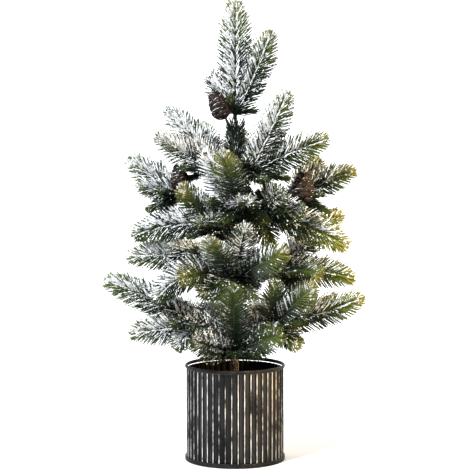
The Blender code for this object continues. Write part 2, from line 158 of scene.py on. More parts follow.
# ---------------------------------------------------------------- node material helpers
class Nodes:
    """A material's node tree with short calls for what the materials here need."""

    def __init__(self, name):
        self.material = bpy.data.materials.new(name)
        self.material.use_nodes = True
        self.tree = self.material.node_tree
        self.shader = self.tree.nodes["Principled BSDF"]

    def add(self, kind, **settings):
        node = self.tree.nodes.new(kind)
        for key, value in settings.items():
            setattr(node, key, value)
        return node

    def link(self, output, target):
        self.tree.links.new(output, target)

    def feed(self, node, socket, value):
        if isinstance(value, bpy.types.NodeSocket):
            self.link(value, node.inputs[socket])
        else:
            node.inputs[socket].default_value = value

    def place(self):
        return self.add('ShaderNodeTexCoord').outputs["Object"]

    def stretch(self, vector, scale):
        node = self.add('ShaderNodeMapping')
        self.feed(node, "Vector", vector)
        node.inputs["Scale"].default_value = scale
        return node.outputs["Vector"]

    def noise(self, vector, scale, detail=3.0, rough=0.55):
        node = self.add('ShaderNodeTexNoise')
        self.feed(node, "Vector", vector)
        node.inputs["Scale"].default_value = scale
        node.inputs["Detail"].default_value = detail
        node.inputs["Roughness"].default_value = rough
        return node.outputs["Fac"]

    def math(self, operation, first, second):
        node = self.add('ShaderNodeMath', operation=operation)
        self.feed(node, 0, first)
        self.feed(node, 1, second)
        return node.outputs[0]

    def ramp(self, value, low, high):
        """0 below low, 1 above high, smooth between."""
        node = self.add('ShaderNodeMapRange', interpolation_type='SMOOTHSTEP')
        self.feed(node, "Value", value)
        node.inputs["From Min"].default_value = low
        node.inputs["From Max"].default_value = high
        return node.outputs["Result"]

    def mix(self, amount, first, second):
        node = self.add('ShaderNodeMix', data_type='RGBA')
        self.feed(node, "Factor", amount)
        for socket, value in ((6, first), (7, second)):
            if isinstance(value, bpy.types.NodeSocket):
                self.link(value, node.inputs[socket])
            else:
                node.inputs[socket].default_value = (*value, 1.0)
        return node.outputs[2]

    def span(self, amount, first, second):
        """A number that runs from first to second with the amount."""
        node = self.add('ShaderNodeMapRange')
        self.feed(node, "Value", amount)
        node.inputs["To Min"].default_value = first
        node.inputs["To Max"].default_value = second
        return node.outputs["Result"]

    def paint(self):
        """The mesh's painted attribute as red, green and blue numbers."""
        node = self.add('ShaderNodeAttribute', attribute_name="paint")
        split = self.add('ShaderNodeSeparateColor')
        self.link(node.outputs["Color"], split.inputs[0])
        return split.outputs

    def bump(self, height, strength, distance):
        node = self.add('ShaderNodeBump')
        node.inputs["Strength"].default_value = strength
        node.inputs["Distance"].default_value = distance
        self.feed(node, "Height", height)
        self.link(node.outputs["Normal"], self.shader.inputs["Normal"])

    def finish(self, colour, roughness, metallic=0.0):
        for socket, value in (("Base Color", colour), ("Roughness", roughness), ("Metallic", metallic)):
            if isinstance(value, bpy.types.NodeSocket):
                self.link(value, self.shader.inputs[socket])
            elif socket == "Base Color":
                self.shader.inputs[socket].default_value = (*value, 1.0)
            else:
                self.shader.inputs[socket].default_value = value
        return self.material


FLOCK_WHITE = (0.93, 0.94, 0.95)
NEEDLE_DARK = (0.007, 0.016, 0.009)
NEEDLE_GREEN = (0.055, 0.080, 0.014)
NEEDLE_FRESH = (0.165, 0.165, 0.030)


def needle_material():
    """Moulded needles: dark to fresh green with red, flock over them with green, random in blue. Green also
    carries painted light: more white on the sides facing up and left, where the key light stands, and painted
    shade at the needles' points.
    """
    m = Nodes("flocked_needles")
    fresh, flock, chance = m.paint()
    place = m.place()
    green = m.mix(m.ramp(fresh, 0.0, 0.55), NEEDLE_DARK, NEEDLE_GREEN)
    green = m.mix(m.ramp(fresh, 0.45, 1.0), green, NEEDLE_FRESH)
    tone = m.span(chance, 0.75, 1.25)
    shade = m.add('ShaderNodeVectorMath', operation='SCALE')
    m.link(green, shade.inputs[0])
    m.link(tone, shade.inputs["Scale"])
    grain = m.noise(place, 900.0, 4.0, 0.7)
    clump = m.noise(place, 160.0, 2.0)
    cover = m.math('ADD', flock, m.math('MULTIPLY', m.math('SUBTRACT', grain, 0.5), 1.6))
    cover = m.math('ADD', cover, m.math('MULTIPLY', m.math('SUBTRACT', clump, 0.5), 1.0))
    cover = m.ramp(cover, 0.84, 0.94)
    white = m.mix(grain, (0.78, 0.80, 0.82), FLOCK_WHITE)
    colour = m.mix(cover, shade.outputs[0], white)
    m.bump(grain, 0.6, 0.0004)
    m.shader.inputs["Specular IOR Level"].default_value = 0.25
    return m.finish(colour, m.span(cover, 0.55, 0.95))


def galvanised_material():
    """Dark washed galvanised sheet, pale on its crests as partly wear and partly painted highlight, with a painted
    shadow line beside each crest: red is the crest, green the height and blue the inner face, painted dark as
    shade."""
    m = Nodes("worn_galvanised")
    crest, height, inner_painted_shade = m.paint()
    place = m.place()
    streak = m.noise(m.stretch(place, (1.0, 1.0, 0.10)), 120.0, 5.0, 0.6)
    patch = m.noise(m.stretch(place, (1.0, 1.0, 0.45)), 38.0, 4.0, 0.6)
    fine = m.noise(place, 1500.0, 3.0, 0.7)
    scuff = m.noise(m.stretch(place, (1.0, 1.0, 0.22)), 420.0, 4.0, 0.65)
    base = m.mix(m.ramp(patch, 0.35, 0.65), (0.010, 0.011, 0.013), (0.030, 0.031, 0.034))
    base = m.mix(m.ramp(streak, 0.50, 0.80), base, (0.044, 0.042, 0.040))
    # a dark band either side of each crest: painted shadow line
    shade = m.math('MULTIPLY', m.ramp(crest, 0.25, 0.55), m.ramp(crest, 0.86, 0.70))
    base = m.mix(shade, base, (0.008, 0.008, 0.007))
    low = m.ramp(height, 0.30, 0.0)
    # crests go pale as partly wear and partly painted highlight; the scuffs and the extra wear low on the wall are
    # real wear
    edge = m.math('MULTIPLY', m.ramp(crest, 0.88, 1.0), m.span(patch, 0.20, 1.35))
    wear_and_highlight_sum = m.math('ADD', edge, m.math('MULTIPLY', m.math('SUBTRACT', scuff, 0.5), 1.3))
    wear_and_highlight_sum = m.math('ADD', wear_and_highlight_sum, m.math('MULTIPLY', low, 0.14))
    wear_and_highlight = m.ramp(wear_and_highlight_sum, 0.58, 0.92)
    # the inner face is painted near black: painted shade
    colour = m.mix(inner_painted_shade, m.mix(wear_and_highlight, base, (0.70, 0.69, 0.66)), (0.008, 0.007, 0.006))
    m.bump(m.math('ADD', m.math('MULTIPLY', wear_and_highlight, 0.5), m.math('MULTIPLY', fine, 0.25)), 0.35, 0.0003)
    m.shader.inputs["Specular IOR Level"].default_value = 0.2
    rough = m.math('ADD', m.span(wear_and_highlight, 0.36, 0.68), m.math('MULTIPLY', m.math('SUBTRACT', fine, 0.5), 0.2))
    return m.finish(colour, rough, m.span(wear_and_highlight, 0.80, 0.25))


def rolled_edge_material():
    """Dark rolled sheet; red marks what stands proud and faces up and out, brightened partly as rubbed wear,
    partly as painted highlight.
    """
    m = Nodes("rolled_edge")
    proud_and_lit, _, _ = m.paint()
    place = m.place()
    patch = m.noise(place, 90.0, 4.0, 0.6)
    fine = m.noise(place, 1200.0, 3.0, 0.7)
    rub_and_highlight = m.math('ADD', m.math('MULTIPLY', proud_and_lit, 0.55), m.math('MULTIPLY', patch, 0.60))
    rub_and_highlight = m.ramp(m.math('ADD', rub_and_highlight, m.math('MULTIPLY', m.math('SUBTRACT', fine, 0.5), 0.35)), 0.86, 1.10)
    colour = m.mix(m.ramp(patch, 0.35, 0.7), (0.006, 0.006, 0.006), (0.018, 0.016, 0.014))
    # the bright rub is partly wear, partly painted highlight
    colour = m.mix(rub_and_highlight, colour, (0.13, 0.12, 0.11))
    m.bump(fine, 0.25, 0.0002)
    m.shader.inputs["Specular IOR Level"].default_value = 0.15
    return m.finish(colour, m.span(fine, 0.50, 0.70), 0.2)


def cement_material():
    m = Nodes("cast_cement")
    place = m.place()
    coarse = m.noise(place, 60.0, 5.0, 0.65)
    fine = m.noise(place, 900.0, 4.0, 0.7)
    colour = m.mix(coarse, (0.10, 0.09, 0.08), (0.24, 0.22, 0.20))
    m.bump(m.math('ADD', coarse, m.math('MULTIPLY', fine, 0.4)), 0.7, 0.0015)
    return m.finish(colour, m.span(fine, 0.85, 1.0))


def paper_material():
    """Crepe paper and tape: fine cross wrinkles, folds darkened as painted shade, flock specks; the browns are
    kept dark partly as painted shade.
    """
    m = Nodes("brown_crepe_paper")
    place = m.place()
    crepe = m.noise(m.stretch(place, (1.0, 1.0, 4.0)), 420.0, 4.0, 0.6)
    stain = m.noise(place, 90.0, 3.0)
    speck = m.ramp(m.noise(place, 520.0, 2.0), 0.60, 0.68)
    # these browns are dark partly as the paper's colour, partly as painted shade
    colour = m.mix(stain, (0.012, 0.008, 0.005), (0.032, 0.019, 0.012))
    # the crepe's low folds are left darker: painted shade
    colour = m.mix(m.ramp(crepe, 0.3, 0.8), colour, (0.065, 0.040, 0.024))
    colour = m.mix(m.math('MULTIPLY', speck, 0.75), colour, FLOCK_WHITE)
    m.bump(crepe, 0.8, 0.0006)
    return m.finish(colour, m.span(crepe, 0.72, 0.95))


def stem_tape_material():
    m = Nodes("green_stem_tape")
    place = m.place()
    crepe = m.noise(place, 700.0, 4.0, 0.65)
    speck = m.ramp(m.noise(place, 600.0, 2.0), 0.56, 0.66)
    colour = m.mix(crepe, (0.022, 0.036, 0.014), (0.065, 0.085, 0.030))
    colour = m.mix(m.math('MULTIPLY', speck, 0.8), colour, FLOCK_WHITE)
    m.bump(crepe, 0.7, 0.0004)
    return m.finish(colour, m.span(crepe, 0.6, 0.85))


def wire_material():
    m = Nodes("drawn_wire")
    place = m.place()
    drawn = m.noise(m.stretch(place, (1.0, 1.0, 0.2)), 1600.0, 3.0, 0.6)
    colour = m.mix(drawn, (0.16, 0.16, 0.16), (0.34, 0.34, 0.35))
    m.bump(drawn, 0.3, 0.0001)
    return m.finish(colour, m.span(drawn, 0.28, 0.46), 0.95)


def cone_material():
    """Woody scales: red runs from root to lip and darkens towards the roots as painted shade, green is flock, blue
    is random.
    """
    m = Nodes("cone_scales")
    reach, flock, chance = m.paint()
    place = m.place()
    grain = m.noise(m.stretch(place, (1.0, 1.0, 0.5)), 700.0, 4.0, 0.65)
    fleck = m.noise(place, 1100.0, 3.0, 0.7)
    # scales go near black towards their roots and the core: painted shade between the scales
    wood_and_root_shade = m.mix(m.ramp(reach, 0.3, 1.0), (0.002, 0.001, 0.001), (0.016, 0.008, 0.006))
    wood_and_root_shade = m.mix(m.math('MULTIPLY', m.ramp(grain, 0.45, 0.8), 0.5), wood_and_root_shade, (0.026, 0.014, 0.010))
    tone = m.add('ShaderNodeVectorMath', operation='SCALE')
    m.link(wood_and_root_shade, tone.inputs[0])
    m.link(m.span(chance, 0.7, 1.3), tone.inputs["Scale"])
    cover = m.math('ADD', flock, m.math('MULTIPLY', m.math('SUBTRACT', fleck, 0.5), 0.6))
    cover = m.ramp(cover, 0.62, 0.76)
    m.shader.inputs["Specular IOR Level"].default_value = 0.2
    colour = m.mix(cover, tone.outputs[0], FLOCK_WHITE)
    m.bump(m.math('ADD', grain, cover), 0.6, 0.0005)
    return m.finish(colour, m.span(cover, 0.62, 0.95))


NEEDLES = needle_material()
GALVANISED = galvanised_material()
ROLLED = rolled_edge_material()
CEMENT = cement_material()
PAPER = paper_material()
STEM_TAPE = stem_tape_material()
WIRE = wire_material()
CONE = cone_material()


# ---------------------------------------------------------------- mesh helpers
class Soup:
    """Collects closed shells with painted corners, then makes one mesh of them."""

    def __init__(self):
        self.points = []
        self.paints = []
        self.faces = []
        self.count = 0

    def add(self, points, faces, paint):
        """points (n, 3); faces rows of corner numbers; paint (n, 3) or one colour."""
        points = np.asarray(points, float).reshape(-1, 3)
        paint = np.broadcast_to(np.asarray(paint, float), (len(points), 3))
        self.points.append(points)
        self.paints.append(paint)
        offset = self.count
        self.faces.extend([tuple(int(c) + offset for c in face) for face in faces])
        self.count += len(points)

    def add_many(self, points, faces, paint):
        """Shells of one kind at once: points (n, corners, 3), the faces of one shell, paint alike."""
        number, corners = points.shape[:2]
        first = self.count + np.arange(number) * corners
        self.points.append(points.reshape(-1, 3))
        self.paints.append(paint.reshape(-1, 3))
        self.faces.extend(tuple(corner + start for corner in face)
                          for start in first.tolist() for face in faces)
        self.count += number * corners

    def make(self, name, material, smooth_angle=50):
        mesh = bpy.data.meshes.new(name)
        mesh.from_pydata(np.vstack(self.points).tolist(), [], self.faces)
        layer = mesh.color_attributes.new("paint", 'FLOAT_COLOR', 'POINT')
        paints = np.ones((self.count, 4), np.float32)
        paints[:, :3] = np.clip(np.vstack(self.paints), 0.0, 1.0)
        layer.data.foreach_set("color", paints.ravel())
        mesh.shade_smooth()
        mesh.set_sharp_from_angle(angle=math.radians(smooth_angle))
        mesh.materials.append(material)
        item = bpy.data.objects.new(name, mesh)
        bpy.context.scene.collection.objects.link(item)
        return item


def unit(vectors):
    return vectors / np.maximum(np.linalg.norm(vectors, axis=-1, keepdims=True), 1e-12)


def fit_out(item, body, slot, *nodes):
    """Attach the piece to the body it rides on and hide the CAD nodes it stands for; slot, its finish, is not
    used.
    """
    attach(item, body)
    if nodes:
        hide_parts(*nodes)
    return item


def ring_faces(sides, rings, closed_start=True, closed_end=True):
    """Faces of a tube of rings, with flat caps."""
    faces = []
    for ring in range(rings - 1):
        for side in range(sides):
            after = (side + 1) % sides
            low = ring * sides
            high = low + sides
            faces.append((low + side, low + after, high + after, high + side))
    if closed_start:
        faces.append(tuple(range(sides - 1, -1, -1)))
    if closed_end:
        last = (rings - 1) * sides
        faces.append(tuple(range(last, last + sides)))
    return faces


def loop_faces(sides, rings):
    """Faces of a ring-shaped solid, whose last ring joins its first."""
    faces = ring_faces(sides, rings, False, False)
    last = (rings - 1) * sides
    for side in range(sides):
        after = (side + 1) % sides
        faces.append((last + side, last + after, after, side))
    return faces


# ---------------------------------------------------------------- needles
NEEDLE_LENGTH = 0.0280
NEEDLE_HALF_WIDTH = 0.00068
NEEDLE_HALF_THICK = 0.00055
FLOCK_FATTENS = 0.35        # share a fully flocked needle gains across
NEEDLE_PITCH = 0.0041
NEEDLE_CURL = 0.10          # share of its length a needle bends forward
END_FRESH = 0.30            # how much fresher a needle is at its point
SNOWFALL_AND_KEY_LIGHT = unit(np.array((-0.60, -0.20, 0.75)))      # flock lies on the upper side; the lean to the left, where the key light stands, is painted light
LEAN_TO_SNOW_AND_LIGHT = 0.45            # how much more flock the needles that point that way hold, partly real flock and partly painted highlight
LEAN_EVEN = 0.25            # a needle this much in line with it holds its plain share
SIDE_TO_SNOW_AND_LIGHT = 0.55            # and the side of each needle that faces it, whitened partly as flock, partly as painted highlight
ROOT_SIDE = 0.35            # the share of that at a needle's root, by the dark midrib
END_PAINTED_SHADE = 0.46             # how much less white a needle's point gets: painted shade that draws dark outlines round the tips
END_FROM = 0.80             # share of a needle where its point starts
TIP_INSET = 0.0145          # the rib stops short of the tip's end by the end needles' reach
RING_SHARES = np.array((0.0, 0.50, 0.88))
RING_SIZES = np.array((0.80, 1.0, 0.90))

# A row of needles along a rib: angle from its flat side, length share, angle from the rib,
# flock share, and where its needles root between stations
Row = namedtuple("Row", "turn long lean load shift")
UNDER_ROWS = (
    Row(-18, 0.94, 57, 0.85, 0.0), Row(198, 0.94, 57, 0.85, 0.0), Row(-9, 0.86, 57, 0.05, 0.5),
    Row(189, 0.86, 57, 0.05, 0.5), Row(-46, 0.66, 52, 0.55, 0.1), Row(226, 0.66, 52, 0.55, 0.1))
FLAT_ROWS = UNDER_ROWS + (
    Row(3, 1.00, 58, 1.0, 0.0), Row(177, 1.00, 58, 1.0, 0.0), Row(32, 0.82, 55, 1.0, 0.06),
    Row(148, 0.82, 55, 1.0, 0.06))
FULL_ROWS = FLAT_ROWS + (
    Row(62, 0.66, 50, 1.1, 0.5), Row(118, 0.66, 50, 1.1, 0.5))
STEM_ROWS = tuple(Row(turn, 0.70, 54, 1.0 if 0 < turn < 180 else 0.3, 0.0)
                  for turn in (20, 160, 90, -50, 230))
FULL_SNOW = 0.80            # tips this white are thick on top and hide their rib


class Rib:
    """A bent line with a flat frame along it: where needles grow."""

    def __init__(self, start, heading, rise, length, droop=0, roll=0, radius=0.0008):
        self.start = np.array(start)
        self.radius = radius
        self.heading = heading
        self.rise = rise
        self.length = length
        self.droop = droop
        self.roll = roll

    def along(self, share):
        return np.array(direction(self.heading, self.rise + self.droop * (0.5 - share)))

    def point(self, share, steps=10):
        spot = self.start.copy()
        for index in range(steps):
            spot += self.along(share * (index + 0.5) / steps) * (self.length * share / steps)
        return spot

    def axes(self, share):
        """Along the rib, across its flat, and out of its upper face."""
        along = self.along(share)
        across = direction(self.heading - 90, 0)
        across = np.array(Matrix.Rotation(math.radians(self.roll), 3, Vector(along)) @ across)
        return along, across, np.cross(across, along)


class Needles:
    """Needles gathered as rows of numbers, then built all at once."""

    def __init__(self):
        self.rows = []

    def grow(self, root, heading, curl, up, length, share, load):
        self.rows.append((root, heading, curl, up, length, share, load))

    def build(self, soup, rng, fresh):
        """Blunt lens-section needles, each a closed shell, with clumps of flock on them."""
        columns = list(zip(*self.rows))
        root, heading, curl, up = (np.array(column) for column in columns[:4])
        length, share, load = (np.array(column) for column in columns[4:])
        count = len(root)
        heading = unit(heading)
        side = unit(np.cross(heading, up))
        flat = unit(np.cross(side, heading))
        chance = rng.uniform(0, 1, count)
        load = load * rng.uniform(0.65, 1.35, count)
        # needles pointing up and to the left, towards the key light, hold more white: partly real flock, partly
        # painted highlight
        load = load * np.clip(1 + LEAN_TO_SNOW_AND_LIGHT * (heading @ SNOWFALL_AND_KEY_LIGHT - LEAN_EVEN), 0.3, 1.6)
        fat = 1.0 + FLOCK_FATTENS * np.clip(load, 0, 1)
        green = np.clip(fresh * (share - FRESH_FROM) / FRESH_WITHIN, 0, 1)
        points = []
        paints = []
        for reach, size in zip(RING_SHARES, RING_SIZES):
            centre = (root + heading * (length * reach)[:, None]
                      + curl * (length * NEEDLE_CURL * reach ** 2)[:, None])
            lump = 1.0 + 0.20 * rng.normal(0, 1, count) * np.clip(load, 0, 1) * (reach > 0)
            wide = (NEEDLE_HALF_WIDTH * size * fat * lump)[:, None]
            thick = (NEEDLE_HALF_THICK * size * fat * lump)[:, None]
            for offset in (side * wide, flat * thick, -side * wide, -flat * thick):
                facing = unit(offset) @ SNOWFALL_AND_KEY_LIGHT
                bare = 0.9 * np.clip(1.45 - load, 0, 1)
                # needle points lose white: painted shade that outlines the tips
                whiteness = load * (1 - bare + (bare + 0.25) * reach) - END_PAINTED_SHADE * (reach > END_FROM)
                # the side facing up and left gains white: partly flock, partly painted highlight
                whiteness += SIDE_TO_SNOW_AND_LIGHT * facing * np.clip(load * 2, 0, 1) * min(1.0, ROOT_SIDE + reach)
                points.append(centre + offset)
                fresher = np.clip(green + END_FRESH * reach * fresh, 0, 1)
                paints.append(np.stack([fresher, whiteness, chance], axis=1))
        points.append(root + heading * length[:, None] + curl * (length * NEEDLE_CURL)[:, None])
        fresher = np.clip(green + END_FRESH * fresh, 0, 1)
        # the apex keeps less white still: painted shade at the point
        whiteness = load * 1.1 - 1.6 * END_PAINTED_SHADE
        paints.append(np.stack([fresher, whiteness, chance], axis=1))
        soup.add_many(np.stack(points, axis=1), NEEDLE_FACES, np.stack(paints, axis=1))
        self.crumble(soup, rng, root, heading, curl, flat, length, load)

    @staticmethod
    def crumble(soup, rng, root, heading, curl, flat, length, load):
        """Clumps of flock standing on the needles' upper sides."""
        for chance in CRUMB_CHANCES:
            held = np.flatnonzero(rng.uniform(0, 1, len(root)) < (load - 0.30) * chance)
            count = len(held)
            if not count:
                continue
            reach = rng.uniform(0.30, 1.0, count)[:, None]
            size = rng.uniform(*CRUMB_SIZES, count)[:, None]
            long = length[held][:, None]
            spot = (root[held] + heading[held] * long * reach + curl[held] * long * NEEDLE_CURL * reach ** 2
                    + flat[held] * size * 0.5)
            ends = (heading[held] * 1.5, np.cross(heading[held], flat[held]), flat[held] * 0.75)
            points = [spot + sign * axis * size * rng.uniform(0.7, 1.3, count)[:, None]
                      for axis in ends for sign in (1, -1)]
            paint = np.stack([np.zeros(count), np.ones(count) * 1.2, rng.uniform(0, 1, count)], axis=1)
            soup.add_many(np.stack(points, axis=1), CRUMB_FACES, np.repeat(paint[:, None], 6, axis=1))


CRUMB_CHANCES = (1.3, 0.9, 0.5)
CRUMB_SIZES = (0.00055, 0.00110)
CRUMB_FACES = ((0, 2, 4), (2, 1, 4), (1, 3, 4), (3, 0, 4), (2, 0, 5), (1, 2, 5), (3, 1, 5), (0, 3, 5))
APEX = 4 * len(RING_SHARES)
NEEDLE_FACES = tuple(ring_faces(4, len(RING_SHARES), closed_end=False)
                     + [(APEX - 4 + k, APEX - 4 + (k + 1) % 4, APEX) for k in range(4)])
END_NEEDLES = 24


def grow_along(needles, rib, rng, snow, rows, pitch=NEEDLE_PITCH, rounded=True, spin=0, stray=3):
    """Needles in rows along a rib; a rounded rib's draw in towards its end and close it."""
    count = max(3, int(rib.length / pitch))
    for station in range(count):
        share = (station + 0.5) / count
        along, across, up = rib.axes(share)
        spot = rib.point(share)
        to_end = rib.length * (1 - share)
        near = max(0.0, 1 - to_end / ROUND_OFF) if rounded else 0.0
        taper = min(1.0, 0.64 + 1.3 * share) * (1 - 0.36 * near ** 1.5)
        close = 1 - 0.50 * near
        for row in rows:
            angle = math.radians(row.turn + spin * station + rng.normal(0, stray))
            spread = math.radians((row.lean + rng.normal(0, 1.6)) * close)
            out = across * math.cos(angle) + up * math.sin(angle)
            root = spot + along * (row.shift * pitch + rng.normal(0, 0.0002)) + out * rib.radius
            length = NEEDLE_LENGTH * row.long * taper * rng.uniform(0.94, 1.05)
            needles.grow(root, along * math.cos(spread) + out * math.sin(spread), along, up, length,
                         share, snow * row.load)
    if rounded:
        along, across, up = rib.axes(1.0)
        end = rib.point(1.0) - along * 0.0015
        for index in range(END_NEEDLES):
            angle = index * GOLDEN_TURN
            spread = math.radians(2 + 34 * index / END_NEEDLES + rng.normal(0, 3))
            out = across * math.cos(angle) + up * math.sin(angle) * 0.7
            needles.grow(end, along * math.cos(spread) + out * math.sin(spread), along, up,
                         NEEDLE_LENGTH * rng.uniform(0.50, 0.66), 1.0, snow)


ROUND_OFF = 0.036           # length of a tip over which it rounds off
FRESH_FROM = 0.48           # share of a tip where its needles start to turn fresh
FRESH_WITHIN = 0.35         # and the share over which they turn
GOLDEN_TURN = math.pi * (3 - math.sqrt(5))


def add_rib(soup, rib, thick_start, thick_end, snow, fresh, rng, sides=8, rings=12):
    """The moulded rib itself, tapering to its end."""
    points = []
    paints = []
    for ring in range(rings):
        share = ring / (rings - 1)
        along, across, up = rib.axes(share)
        centre = rib.point(share)
        radius = thick_start + (thick_end - thick_start) * share
        if ring == rings - 1:
            radius *= 0.35
        for side in range(sides):
            angle = math.tau * side / sides
            out = across * math.cos(angle) + up * math.sin(angle)
            points.append(centre + out * radius * rng.uniform(0.9, 1.1))
            fresher = 0.10 + 0.9 * fresh * max(0.0, share - 0.35) / 0.65
            paints.append((fresher, 0.55 * snow * (0.6 + 0.5 * out[2]), 0.5))
    soup.add(points, ring_faces(sides, rings), np.array(paints))


def root_point(branch):
    return Vector(JOINTS["bend_" + branch.name]["pos_m"])


def hub_point(branch):
    return root_point(branch) + direction(branch.heading, branch.rise) * branch.stem


HUB_RADIUS = 0.0030
HUB_LENGTH = 0.0090
STEM_CLEAR = 0.012          # bare wire next to the trunk
STEM_RADIUS = 0.0016        # as in the CAD
STEM_LAP = 0.0045           # from one turn of its tape to the next
STEM_RING = 0.0008          # from one ring of the wire's mesh to the next
RIB_START = 0.0019          # half-thickness of a tip's rib at its root
RIB_END = 0.0009


# Short side shoots low on a sprig: heading and rise from the branch's own, length, snow, fresh
SHOOTS = ((38, -52, 0.052, 0.60, 0.20), (-38, -52, 0.052, 0.60, 0.20), (0, -75, 0.046, 0.40, 0.15),
          (70, -20, 0.046, 0.75, 0.20), (-70, -20, 0.046, 0.75, 0.20))
HEM_SHOOT_RISE = 8          # the lowest sprigs' shoots stay above the planter


def make_sprig(branch, seed):
    """A whole moulded sprig: hub, ribs and needles, standing for the CAD core."""
    rng = np.random.default_rng(seed)
    soup = Soup()
    hub = hub_point(branch)
    along = direction(branch.heading, branch.rise)
    snow = sum(tip.snow for tip in branch.tips) / len(branch.tips)
    socket = Rib(hub - along * HUB_LENGTH * 0.6, branch.heading, branch.rise, HUB_LENGTH * 1.2)
    add_rib(soup, socket, HUB_RADIUS, HUB_RADIUS * 0.8, snow, 0.0, rng, sides=10, rings=6)
    if branch.stem > STEM_CLEAR * 1.5:
        start = root_point(branch) + along * STEM_CLEAR
        stem = Rib(start, branch.heading, branch.rise, branch.stem - STEM_CLEAR)
        needles = Needles()
        grow_along(needles, stem, rng, snow * 0.8, STEM_ROWS, rounded=False)
        needles.build(soup, rng, 0.0)
    least = HEM_SHOOT_RISE if branch.name.startswith("hem") else -90
    upright = branch.rise == 90
    shoots = [Tip(branch.heading + turn * (3 if upright else 1), max(least, branch.rise + lift),
                  length * (0.65 if upright else 1), 10, 0, white, fresh)
              for turn, lift, length, white, fresh in SHOOTS]
    for tip in list(branch.tips) + shoots:
        rib = Rib(hub + along * 0.001, tip.heading, tip.rise, tip.length - TIP_INSET, tip.droop, tip.roll)
        add_rib(soup, rib, RIB_START, RIB_END, tip.snow, tip.fresh, rng)
        needles = Needles()
        grow_along(needles, rib, rng, tip.snow, FULL_ROWS if tip.snow >= FULL_SNOW else FLAT_ROWS)
        needles.build(soup, rng, tip.fresh)
    item = soup.make("needles_" + branch.name, NEEDLES)
    return fit_out(item, branch.name, "needles", "sprig_" + branch.name)


def make_stem(branch, seed):
    """Branch wire wound with tape: a tube with a shallow spiral of overlaps."""
    rng = np.random.default_rng(seed)
    soup = Soup()
    rib = Rib(root_point(branch), branch.heading, branch.rise, branch.stem)
    sides = 12
    rings = max(12, int(branch.stem / STEM_RING))
    points = []
    for ring in range(rings):
        share = ring / (rings - 1)
        along, across, up = rib.axes(share)
        centre = rib.point(share) - along * (STEM_RADIUS * 0.8 * (1 - share))
        for side in range(sides):
            angle = math.tau * side / sides
            wind = (share * branch.stem / STEM_LAP - side / sides) % 1.0
            end = min(1.0, 0.55 + ring * 0.25, 0.55 + (rings - 1 - ring) * 0.4)
            out = across * math.cos(angle) + up * math.sin(angle)
            points.append(centre + out * STEM_RADIUS * end
                          * (0.90 + 0.12 * wind + rng.uniform(-0.02, 0.02)))
    soup.add(points, ring_faces(sides, rings), (0, 0, 0))
    item = soup.make("wire_" + branch.name, STEM_TAPE)
    return fit_out(item, branch.name, "stem_tape", "stem_" + branch.name)


# ---------------------------------------------------------------- cones
SCALE_COUNT = 44
CORE_SIDES = 14
CORE_RINGS = 9

# One scale from its root to its lip: share of length, half-width, height and thickness
SCALE_STATIONS = ((0.00, 0.30, 0.00, 0.16), (0.35, 0.66, 0.00, 0.18), (0.68, 1.00, 0.10, 0.20),
                  (0.90, 0.88, 0.30, 0.26), (1.00, 0.46, 0.46, 0.18))


def make_cone(name, body):
    """Overlapping woody scales set round an egg-shaped core in a spiral."""
    mesh = frame["nodes"]["cone_" + name].data
    points = np.array([v.co for v in mesh.vertices], float)
    middle = points.mean(axis=0)
    _, _, turned = np.linalg.svd(points - middle)
    axis = turned[0]
    if axis[2] < 0:
        axis = -axis
    reach = (points - middle) @ axis
    start = middle + axis * reach.min()
    length = reach.max() - reach.min()
    radius = np.linalg.norm((points - middle) - reach[:, None] * axis, axis=1).max()
    side = unit(np.cross(axis, (0.0, 1.0, 0.1)))
    front = np.cross(axis, side)
    rng = np.random.default_rng(len(name) * 31 + 7)
    soup = Soup()
    core = []
    for ring in range(CORE_RINGS):
        share = ring / (CORE_RINGS - 1)
        size = radius * 0.50 * math.sin(math.pi * (0.08 + 0.88 * share) ** 0.75)
        for index in range(CORE_SIDES):
            angle = math.tau * index / CORE_SIDES
            core.append(start + axis * length * share * 0.96
                        + (side * math.cos(angle) + front * math.sin(angle)) * size)
    # the core takes the darkest root colour: painted shade
    soup.add(core, ring_faces(CORE_SIDES, CORE_RINGS), (0.0, 0.0, 0.5))
    for index in range(SCALE_COUNT):
        share = (index + 0.5) / SCALE_COUNT
        along = 0.02 + 0.86 * share
        profile = math.sin(math.pi * (0.10 + 0.84 * min(1.0, along + 0.04)) ** 0.72)
        angle = index * GOLDEN_TURN
        out = side * math.cos(angle) + front * math.sin(angle)
        tangent = np.cross(axis, out)
        lean = math.radians(66 - 46 * share + rng.normal(0, 3))
        grow = unit(axis * math.cos(lean) + out * math.sin(lean))
        lift = np.cross(tangent, grow)
        if lift @ axis < 0:
            lift = -lift
        root = start + axis * length * along * 0.90 + out * radius * profile * 0.34
        long = radius * profile * 0.70 / max(0.42, math.sin(lean)) * rng.uniform(0.95, 1.05)
        long = min(long, length * 0.30)
        wide = radius * (0.25 + 0.34 * profile)
        add_scale(soup, root, grow, tangent, lift, long, wide, rng)
    item = soup.make("scales_" + name, CONE, smooth_angle=60)
    return fit_out(item, body, "cone_scales", "cone_" + name)


